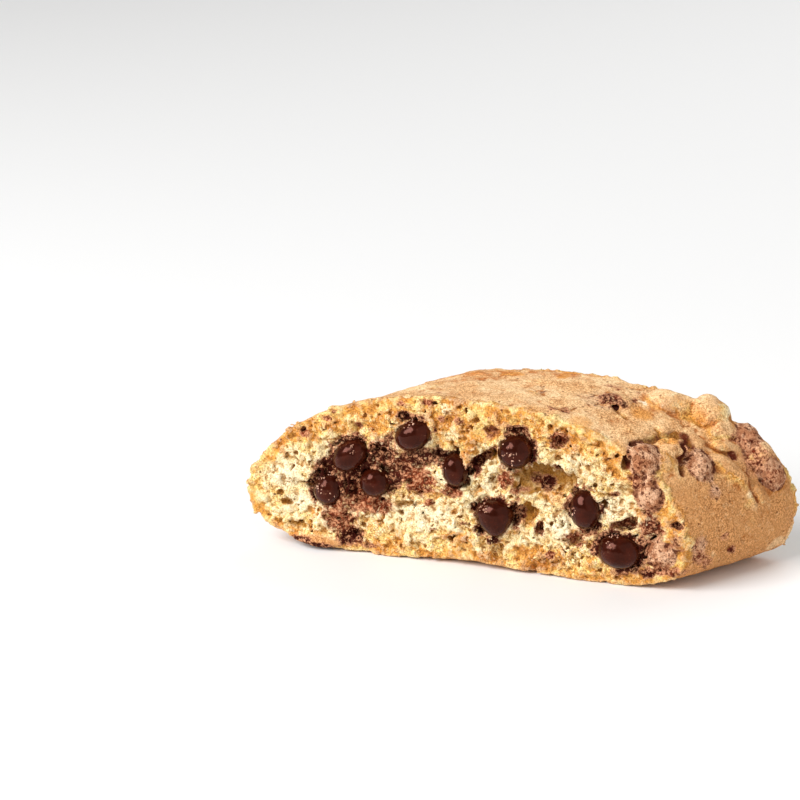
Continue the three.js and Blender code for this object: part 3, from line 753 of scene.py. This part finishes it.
def doughFinish(given):
    # What the finish needs to know about each point: crumb or crust, pits, chocolate smears with the painted
    # shade laid with them, and patches.
    skin = given["Geometry"]
    where = inMm()
    solid = guideGeometry(given, "Solid")
    crust, inside = nearness(crustShell(solid)), insideDistance(solid)
    frontDepth, backDepth = faceDepths(given, where)
    smear, red = smearAndShadeAmounts(given, where, frontDepth, backDepth)
    loose = warped(where, size=2.0, reach=0.9, seed=64.0)
    onFace, onCrust = faceSpread(loose), crustSpread(loose)
    facePatch = {kind: product(strongest(spots, onFace, patchCore[kind], patchEdge), onCut(frontDepth))
                 for kind, spots in frontPatches.items()}
    crustPatch = {kind: strongest(spots, onCrust) for kind, spots in crustSpots.items()}
    backPale = product(onCut(backDepth), ease(noise(where, 7.0, seed=65.0), 0.5, 0.62))
    backGold = product(onCut(backDepth), ease(noise(where, 6.0, seed=66.0), 0.52, 0.64))
    crack, crackWidth = lineDistance(given, "Cracks")
    glaze, glazeWidth = lineDistance(given, "Glaze")
    inCrack = product(
        ease(calc("DIVIDE", crack, crackWidth), 1.3, 0.7), ease(crackWidth, 0.2, 0.7, 0.25, 1.0))
    dusted = nearness(guideGeometry(given, "Dusted"))
    values = {
        "crumb": crumbAmount(given, where, crust, calc("MINIMUM", frontDepth, backDepth), inside),
        "rim": crust, "smear": smear, "red": red,
        "pale": total(facePatch["pale"], crustPatch["pale"], backPale),
        "gold": total(facePatch["gold"], crustPatch["gold"], backGold),
        "olive": facePatch["olive"],
        "dusty": calc("MAXIMUM", crustPatch["dusty"], ease(dusted, 1.1, 0.5)),
        "crack": inCrack, "glaze": ease(calc("DIVIDE", glaze, glazeWidth), 1.6, 0.3),
        "pit": cavityDepth(steps=5), "basin": cavityDepth(steps=30), "tint": 0.5,
    }
    for name, value in values.items():
        skin = stored(skin, name, value)
    return finished(given, skin)


# Finishes.

def tone(red, green, blue):
    def linear(value):
        value /= 255
        return value / 12.92 if value <= 0.04045 else ((value + 0.055) / 1.055) ** 2.4
    return (linear(red), linear(green), linear(blue), 1.0)


def mixed(factor, first, second, blend="MIX"):
    sockets = {0: factor, 6: first, 7: second}
    return addNode("ShaderNodeMix", sockets, data_type="RGBA", blend_type=blend).outputs[2]


def newFinish(name, constants):
    # A material of one shader with its fixed settings, which becomes the one being built.
    finish = bpy.data.materials.new(name)
    finish.use_nodes = True
    building["tree"] = finish.node_tree
    shader = finish.node_tree.nodes["Principled BSDF"]
    for label, value in constants.items():
        shader.inputs[label].default_value = value
    return finish, shader


def onObject():
    # The place on the object, in millimetres.
    return scaled(addNode("ShaderNodeTexCoord").outputs["Object"], 1 / mm)


def attributeValue(name):
    return addNode("ShaderNodeAttribute", attribute_name=name).outputs["Fac"]


def addBump(shader, height, depth, strength=1.0):
    bump = made("ShaderNodeBump", {"Height": height, "Distance": depth * mm, "Strength": strength})
    plug(shader.inputs["Normal"], bump)


colours = {
    "cream": tone(246, 225, 174), "pale": tone(253, 240, 205), "yellow": tone(241, 204, 126),
    "golden": tone(221, 148, 60), "ochre": tone(188, 134, 62), "toastAndShade": tone(176, 104, 46),
    "pitShade": tone(140, 84, 36), "olive": tone(164, 112, 40), "cocoaAndShade": tone(62, 17, 6),
    "cocoaMid": tone(108, 42, 20), "rust": tone(158, 76, 42), "cocoaCrumb": tone(216, 156, 116),
    "crackChocolateAndShade": tone(96, 36, 18),
    "crust": tone(230, 182, 128), "crustPale": tone(242, 206, 158), "crustDark": tone(194, 136, 84),
    "crustLower": tone(210, 152, 96), "ridge": tone(196, 116, 48), "speck": tone(112, 58, 28),
    "dust": tone(168, 112, 78), "dustPale": tone(222, 174, 138), "dustDarkAndShade": tone(88, 40, 22),
    "paintedHighlight": tone(244, 228, 214), "chocolate": tone(40, 9, 3), "chocolatePale": tone(56, 16, 6),
    "bloom": tone(150, 106, 80), "stuck": tone(132, 78, 54), "stuckPale": tone(214, 168, 142),
    "grainDark": (0.52, 0.4, 0.3, 1.0), "grainLight": (1.34, 1.36, 1.38, 1.0),
}


def layered(base, *layers):
    # Lays colours over a base one by one, each as strongly as its amount says.
    for name, amount in layers:
        base = mixed(amount, base, colours[name])
    return base


def specked(where, size, rarity, radius, core, amount):
    # Small dark spots in a few of the cells.
    spots = cells(where, size)
    chosen = calc("GREATER_THAN", parts(spots.outputs["Color"])[0], rarity)
    return product(chosen, ease(spots.outputs["Distance"], radius, core), amount)


def crumbTone(known, grain, where):
    # Cream crumbs with painted golden-brown shade in the pits between them and a painted highlight on their
    # tops, browner towards the crust.
    upper = ease(parts(where)[2], 12.0, 24.0, 3.4, 8.0)
    warm = total(
        known["gold"], ease(calc("DIVIDE", known["rim"], upper), 1.0, 0.1, 0.0, 0.85),
        calc("MULTIPLY_ADD", grain["medium"], 2.4, -1.12), product(known["pale"], -0.8))
    warm = ease(warm, 0.0, 0.9)
    light = calc("MULTIPLY_ADD", warm, -0.6, 1.0)
    patchy = calc("MULTIPLY_ADD", warm, 0.17, grain["ochre"])
    pit, basin, tint = known["pit"], known["basin"], known["tint"]
    return layered(
        colours["cream"],
        ("yellow", ease(grain["broad"], 0.38, 0.64)),
        ("yellow", warm),
        ("pale", ease(known["pale"], 0.1, 1.0, 0.0, 0.75)),
        ("golden", ease(patchy, 0.54, 0.68, 0.0, 0.85)),
        ("toastAndShade", ease(patchy, 0.66, 0.8, 0.0, 0.7)),
        ("pale", product(light, ease(grain["grainy"], 0.52, 0.64, 0.0, 0.45))),
        ("golden", ease(tint, 0.25, 0.05, 0.0, 0.35)),
        ("pale", product(light, ease(tint, 0.75, 0.95, 0.0, 0.35))),
        # Painted highlight on the raised crumbs, and painted shade in the pits and broad hollows.
        ("pale", product(light, ease(pit, -0.03, -0.14, 0.0, 0.5))),
        ("ochre", ease(pit, 0.02, 0.14, 0.0, 0.65)),
        ("pitShade", ease(pit, 0.12, 0.28, 0.0, 0.7)),
        ("ochre", ease(basin, 0.25, 0.9, 0.0, 0.6)),
        ("speck", specked(where, size=1.2, rarity=0.88, radius=0.24, core=0.1, amount=0.85)),
        ("olive", product(known["olive"], ease(basin, -0.6, 0.1))))


def crustTone(known, grain, where):
    # Pale above and darker towards the base, with painted shade in the pits, glazed streaks and dark specks.
    height = calc("MULTIPLY_ADD", grain["broad"], 12.0, calc("SUBTRACT", parts(where)[2], 6.0))
    return layered(
        colours["crustPale"],
        ("crust", ease(grain["broad"], 0.35, 0.65)),
        # Darker towards the base.
        ("crustLower", ease(height, 26.0, 14.0)),
        ("crustDark", ease(grain["medium"], 0.48, 0.66, 0.0, 0.5)),
        ("crustDark", ease(grain["grainy"], 0.48, 0.34, 0.0, 0.65)),
        ("crustPale", ease(grain["gritty"], 0.54, 0.68, 0.0, 0.25)),
        ("golden", ease(known["gold"], 0.2, 0.9, 0.0, 0.8)),
        ("crustPale", ease(known["pale"], 0.2, 0.9, 0.0, 0.7)),
        # Painted highlight where the pale spots rise above 1.
        ("paintedHighlight", ease(known["pale"], 1.0, 1.6)),
        ("ridge", product(known["glaze"], ease(grain["medium"], 0.34, 0.6, 0.0, 0.85))),
        # Painted shade in the pits of the crust.
        ("toastAndShade", ease(known["pit"], 0.02, 0.1, 0.0, 0.8)),
        ("speck", specked(where, size=0.9, rarity=0.84, radius=0.32, core=0.14, amount=0.7)))


def dustTone(grain):
    # Floury dust with dark grit, and painted shade in its pits.
    return layered(
        colours["dust"],
        ("dustPale", ease(grain["medium"], 0.4, 0.6)),
        # Painted shade in the pits.
        ("dustDarkAndShade", ease(attributeValue("pit"), 0.02, 0.1, 0.0, 0.9)),
        ("dustDarkAndShade", ease(grain["gritty"], 0.53, 0.63, 0.0, 0.9)),
        ("dustDarkAndShade", ease(grain["fine"], 0.44, 0.34, 0.0, 0.6)))


def cocoaAndShadeTone(known, grain):
    # Melted chocolate, and the painted shade laid with it: nearly black where it is thick, rusty where it is
    # thin, with crumbs in it.
    clump = grain["clump"]
    dark = calc("MULTIPLY_ADD", grain["medium"], 1.6, calc("SUBTRACT", known["smear"], 0.8))
    return layered(
        colours["cocoaMid"],
        ("cocoaAndShade", ease(dark, 0.2, 0.75)),
        ("rust", product(ease(known["red"], 0.1, 0.7), ease(clump, 0.4, 0.56, 0.2, 0.85))),
        ("cocoaCrumb", product(ease(clump, 0.47, 0.58), ease(grain["grainy"], 0.4, 0.54), 0.9)))


def cocoaAndShadeSpread(known, grain):
    # Where the melted chocolate and its painted shade lie: it breaks up at the edges of a smear and skips
    # pale crumbs.
    paleGrain = ease(known["tint"], 0.75, 0.9, 0.0, 0.5)
    coarse = total(grain["clump"], grain["gritty"])
    spread = calc("MULTIPLY_ADD", known["smear"], 1.3, calc("MULTIPLY_ADD", coarse, 1.7, -1.7))
    return product(ease(calc("SUBTRACT", spread, paleGrain), 0.2, 0.8), ease(known["smear"], 0.03, 0.25))


# The noises behind the finishes: size in millimetres, detail, seed and roughness.
grainKinds = {
    "broad": (5.5, 2.0, 1.0, 0.5), "medium": (1.5, 3.0, 2.0, 0.5), "grainy": (0.42, 3.0, 3.0, 0.6),
    "gritty": (0.6, 2.0, 4.0, 0.6), "fine": (0.3, 1.0, 6.0, 0.6), "ochre": (2.4, 4.0, 8.0, 0.62),
    "clump": (1.0, 2.0, 9.0, 0.6), "sandy": (0.24, 1.0, 10.0, 0.6),
}


def grainNoises(where):
    return {name: noise(where, *settings) for name, settings in grainKinds.items()}


def makeDoughLook():
    finish, shader = newFinish("doughLook", {"Specular IOR Level": 0.1})
    where = onObject()
    grain = grainNoises(where)
    known = {name: attributeValue(name) for name in (
        "crumb", "rim", "smear", "red", "pale", "gold", "olive", "dusty", "crack", "glaze", "pit", "basin",
        "tint")}
    colour = mixed(known["crumb"], crustTone(known, grain, where), crumbTone(known, grain, where))
    dusty = total(grain["gritty"], calc("SUBTRACT", known["dusty"], 0.5))
    dusty = product(ease(dusty, 0.2, 0.75), ease(known["dusty"], 0.02, 0.2))
    colour = mixed(dusty, colour, dustTone(grain))
    powdered = product(ease(known["smear"], 0.1, 0.5, 0.0, 0.9), ease(grain["clump"], 0.4, 0.56, 0.4))
    colour = layered(colour, ("cocoaCrumb", powdered))
    colour = mixed(cocoaAndShadeSpread(known, grain), colour, cocoaAndShadeTone(known, grain))
    # Painted shadow in the cracks, with the chocolate in them, where they lie low.
    colour = layered(colour, ("crackChocolateAndShade", product(known["crack"], ease(known["basin"], -0.4, 0.0))))
    sand = mixed(ease(grain["sandy"], 0.3, 0.7), colours["grainDark"], colours["grainLight"])
    sandiness = ease(grain["broad"], 0.36, 0.6, 0.5, 0.9)
    plug(shader.inputs["Base Color"], mixed(sandiness, colour, sand, "MULTIPLY"))
    plug(shader.inputs["Roughness"], calc("MULTIPLY_ADD", known["glaze"], -0.3, 0.8))
    height = calc("MULTIPLY_ADD", grain["fine"], 0.4, grain["grainy"])
    steep = ease(known["crumb"], 0.0, 1.0, 0.35, 1.0)
    addBump(shader, product(height, steep), depth=0.4, strength=0.9)
    return finish


def makeChipLook():
    finish, shader = newFinish("darkChocolate", {
        "Specular IOR Level": 0.36, "Specular Tint": (1.0, 0.42, 0.32, 1.0)})
    where = onObject()
    cloudy = noise(where, 2.0, detail=3.0, seed=1.0)
    dusty = ease(noise(where, 0.6, detail=4.0, seed=2.0, roughness=0.7), 0.58, 0.7)
    dusty = product(dusty, ease(cloudy, 0.5, 0.62))
    colour = layered(
        colours["chocolate"], ("chocolatePale", ease(cloudy, 0.4, 0.65)), ("bloom", product(dusty, 0.5)))
    plug(shader.inputs["Base Color"], colour)
    plug(shader.inputs["Roughness"], ease(dusty, 0.0, 1.0, 0.15, 0.7))
    addBump(shader, noise(where, 0.9, detail=3.0, seed=3.0), depth=0.09, strength=0.7)
    return finish


def makeDustedLook():
    finish, shader = newFinish("dustedChocolate", {"Roughness": 0.8, "Specular IOR Level": 0.2})
    where = onObject()
    # Dark along the cracks: chocolate showing through and painted shadow.
    colour = layered(dustTone(grainNoises(where)), ("cocoaAndShade", attributeValue("crack")))
    plug(shader.inputs["Base Color"], colour)
    addBump(shader, noise(where, 0.5, detail=3.0, seed=6.0, roughness=0.65), depth=0.35)
    return finish


def makeStuckLook():
    finish, shader = newFinish("stuckCrumb", {"Roughness": 0.7})
    colour = layered(colours["stuck"], ("stuckPale", attributeValue("tint")))
    plug(shader.inputs["Base Color"], colour)
    return finish


note("welding the solids")
glossyNames = [name for name in chipNames if name not in dustedNames]
solidMesh = weldedCopy(["dough"])
guides = {
    "Glossy": addGuide("glossy", weldedCopy(glossyNames)),
    "Dusted": addGuide("dusted", weldedCopy(dustedNames)),
    "Buried": addGuide("buried", weldedCopy(buriedNames)),
    "Solid": addGuide("solid", solidMesh),
}
crustSurface = weldedSurface(weldedCopy(["dough"] + chipNames))
for label, lines in crustLines.items():
    guides[label] = addGuide(label, linesOnCrust(label, lines, crustSurface))
doughLook = makeDoughLook()
chipLook = makeChipLook()
dustedLook = makeDustedLook()

note("shaping the dough")
doughMesh = growMesh("doughShape", solidMesh, doughShape, {
    **dough, **{label: guides[label] for label in ("Glossy", "Dusted", "Buried", "Cracks", "Ridges")}})
doughMesh.calc_loop_triangles()
note(f"raw dough has {len(doughMesh.loop_triangles)} triangles")
doughMesh = thinned(doughMesh, mostTriangles)
note("thinned")
doughMesh = growMesh("doughFinish", doughMesh, doughFinish, {**dough, **guides, "Finish": doughLook})
addPiece("doughCrumb", doughMesh, "dough", "dough")


# The chips, smoothed and slightly dented.
chip = {"swell": 0.42, "dentSize": 2.4, "dentDepth": 0.2, "seed": 5.0}
dustedChip = {"swell": 0.25, "grainSize": 0.9, "grainDepth": 0.5}


def chipShape(given):
    smooth = made("GeometryNodeSubdivisionSurface", {0: given["Geometry"], "Level": 2})
    dent = wave(inMm(), given["dentSize"], given["dentDepth"], seed=given["seed"])
    return finished(given, pushedOut(smooth, total(dent, given["swell"])))


def dustedShape(given):
    # The wide cracks of the crust also run over the chips beside them.
    smooth = made("GeometryNodeSubdivisionSurface", {0: given["Geometry"], "Level": 3})
    where = inMm()
    distance, halfWidth = lineDistance(given, "Cracks")
    crack = product(ease(calc("DIVIDE", distance, halfWidth), 1.7, 0.9), ease(halfWidth, 0.6, 0.9))
    smooth = stored(smooth, "crack", crack)
    dent = wave(where, given["dentSize"], given["dentDepth"], seed=given["seed"])
    grain = wave(where, given["grainSize"], given["grainDepth"], detail=3.0, seed=6.0)
    return finished(given, pushedOut(smooth, total(dent, grain, product(crack, -1.0), given["swell"])))


glossyMesh = growMesh("glossyChips", guides["Glossy"].data, chipShape, {**chip, "Finish": chipLook})
addPiece("glossyChips", glossyMesh, "chocolate", *glossyNames)
dustedMesh = growMesh("dustedChips", guides["Dusted"].data, dustedShape, {
    **chip, **dustedChip, "Cracks": guides["Cracks"], "Finish": dustedLook})
addPiece("dustedChips", dustedMesh, "chocolate", *dustedNames)

# Loose crumbs: their radius in millimetres, how many to a square millimetre, and how uneven.
crumbs = {"radius": 0.15, "perArea": 3.0, "leastScale": 0.5, "mostScale": 1.6, "unevenness": 0.08}
chipCrumbs = {"radius": 0.16, "perArea": 2.6}
unevenSize = 0.35

# Where crumbs stick to the front chips: x, z, radius.
stuckCrumbs = [
    (-30.6, 12.0, 1.6), (-29.0, 10.6, 1.0), (1.0, 21.4, 1.5), (2.4, 20.6, 1.3), (-16.0, 24.4, 1.2),
    (12.4, 12.4, 0.9), (19.0, 8.6, 1.1), (-2.8, 11.2, 0.9), (-9.8, 17.2, 0.8), (-25.2, 19.0, 0.8),
]


def randomVector(low, high, seed):
    sockets = {0: low, 1: high, "Seed": seed}
    return made("FunctionNodeRandomValue", sockets, data_type="FLOAT_VECTOR")


def grainsOn(given, density):
    # Small uneven grains strewn over a surface, each turned, sized and tinted at random.
    spread = addNode("GeometryNodeDistributePointsOnFaces", {
        "Mesh": given["Geometry"], "Density": density, "Seed": given["Seed"]})
    tint = addNode("FunctionNodeRandomValue", {"Seed": 5}, data_type="FLOAT").outputs[1]
    points = stored(spread.outputs["Points"], "tint", tint)
    least, most = scaled((1.0, 1.0, 1.0), given["leastScale"]), scaled((1.0, 1.0, 0.7), given["mostScale"])
    grain = made("GeometryNodeMeshIcoSphere", {"Radius": product(given["radius"], mm), "Subdivisions": 1})
    placed = made("GeometryNodeInstanceOnPoints", {
        "Points": points, "Instance": grain, "Rotation": randomVector((0.0,) * 3, (math.tau,) * 3, 7),
        "Scale": randomVector(least, most, 9)})
    placed = made("GeometryNodeRealizeInstances", {0: placed})
    jitter = vectorCalc("SUBTRACT", noise(inMm(), unevenSize, seed=71.0, output=1), (0.5, 0.5, 0.5))
    reach = product(given["unevenness"], 4 * mm)
    return finished(given, moved(placed, {"Offset": scaled(jitter, reach)}))


def looseCrumbs(given):
    # In clusters on the torn crumb of one cut, away from the rim.
    outward = product(parts(surfaceNormal())[1], given["Side"])
    clustered = ease(noise(inMm(), 2.0, detail=2.0, seed=72.0), 0.38, 0.62, 0.15, 1.0)
    chance = product(ease(outward, 0.1, 0.4), ease(named("crumb"), 0.3, 0.8), clustered,
                     ease(named("rim"), 0.8, 2.0))
    return grainsOn(given, product(chance, given["perArea"], 1 / mm ** 2))


def crumbsOnChips(given):
    where = inMm()
    spots = [(x, z, radius, radius, 1.0) for x, z, radius in stuckCrumbs]
    near = strongest(spots, faceSpread(where))
    facing = calc("LESS_THAN", parts(where)[1], 0.0)
    return grainsOn(given, product(near, facing, given["perArea"], 1 / mm ** 2))


for name, side in (("frontCrumbs", -1.0), ("backCrumbs", 1.0)):
    mesh = growMesh(name, doughMesh, looseCrumbs, {**crumbs, "Side": side, "Seed": 3, "Finish": doughLook})
    addPiece(name, mesh, "dough")
mesh = growMesh("chipCrumbs", glossyMesh, crumbsOnChips, {
    **crumbs, **chipCrumbs, "Seed": 4, "Finish": makeStuckLook()})
addPiece("chipCrumbs", mesh, "dough")

for guide in guides.values():
    bpy.data.objects.remove(guide)


# The stage: a pale floor, a soft key from the upper left and a fill from the right.
studio = {
    "target": Vector((-0.0006, 0, 0.013)), "distance": 0.5, "azimuth": 16.48, "elevation": 19.47,
    "aimRight": -0.0196, "aimUp": 0.0123, "lens": 135.3, "clipStart": 0.05,
    "floorHalf": 1.5, "floorTone": (0.9, 0.9, 0.9, 1), "floorRoughness": 0.7,
    "worldTone": (1.0, 0.99, 0.97, 1), "worldLight": 0.28, "wallPaleness": 0.56,
}

# Each lamp: place, size and watts.
lamps = {
    "key": ((-0.42, -0.5, 0.5), 0.52, 8.4), "fill": ((0.6, -0.35, 0.35), 1.2, 2.6),
    "rim": ((0.15, 0.6, 0.5), 0.6, 2.0),
}


def buildStage():
    floorMesh = bpy.data.meshes.new("floor")
    half = studio["floorHalf"]
    corners = [(-half, -half, 0), (half, -half, 0), (half, half, 0), (-half, half, 0)]
    floorMesh.from_pydata(corners, [], [(0, 1, 2, 3)])
    floor = bpy.data.objects.new("floor", floorMesh)
    scene.collection.objects.link(floor)
    paint, _ = newFinish("paleFloor", {
        "Base Color": studio["floorTone"], "Roughness": studio["floorRoughness"]})
    floorMesh.materials.append(paint)

    world = bpy.data.worlds.new("studio")
    scene.world = world
    world.use_nodes = True
    building["tree"] = world.node_tree
    background = world.node_tree.nodes["Background"]
    background.inputs["Color"].default_value = studio["worldTone"]
    # The wall behind the floor is paler than the light it gives.
    seen = addNode("ShaderNodeLightPath").outputs["Is Camera Ray"]
    strength = calc("MULTIPLY_ADD", seen, studio["wallPaleness"], studio["worldLight"])
    plug(background.inputs["Strength"], strength)

    for name, (place, size, watts) in lamps.items():
        lamp = bpy.data.lights.new(name, "AREA")
        lamp.shape = "SQUARE"
        lamp.size = size
        lamp.energy = watts
        holder = bpy.data.objects.new(name, lamp)
        holder.location = place
        holder.rotation_euler = (studio["target"] - Vector(place)).to_track_quat("-Z", "Y").to_euler()
        scene.collection.objects.link(holder)


def buildCamera():
    azimuth, elevation = math.radians(studio["azimuth"]), math.radians(studio["elevation"])
    back = Vector((math.sin(azimuth) * math.cos(elevation), -math.cos(azimuth) * math.cos(elevation),
                   math.sin(elevation)))
    right = Vector((math.cos(azimuth), math.sin(azimuth), 0))
    up = back.cross(right)
    place = studio["target"] + back * studio["distance"]
    aim = studio["target"] + right * studio["aimRight"] + up * studio["aimUp"]
    view = bpy.data.cameras.new("camera")
    view.lens = studio["lens"]
    view.clip_start = studio["clipStart"]
    camera = bpy.data.objects.new("camera", view)
    camera.location = place
    camera.rotation_euler = (aim - place).to_track_quat("-Z", "Y").to_euler()
    scene.collection.objects.link(camera)
    scene.camera = camera


buildStage()
buildCamera()
scene.view_settings.view_transform = "Standard"
note("stage is set")
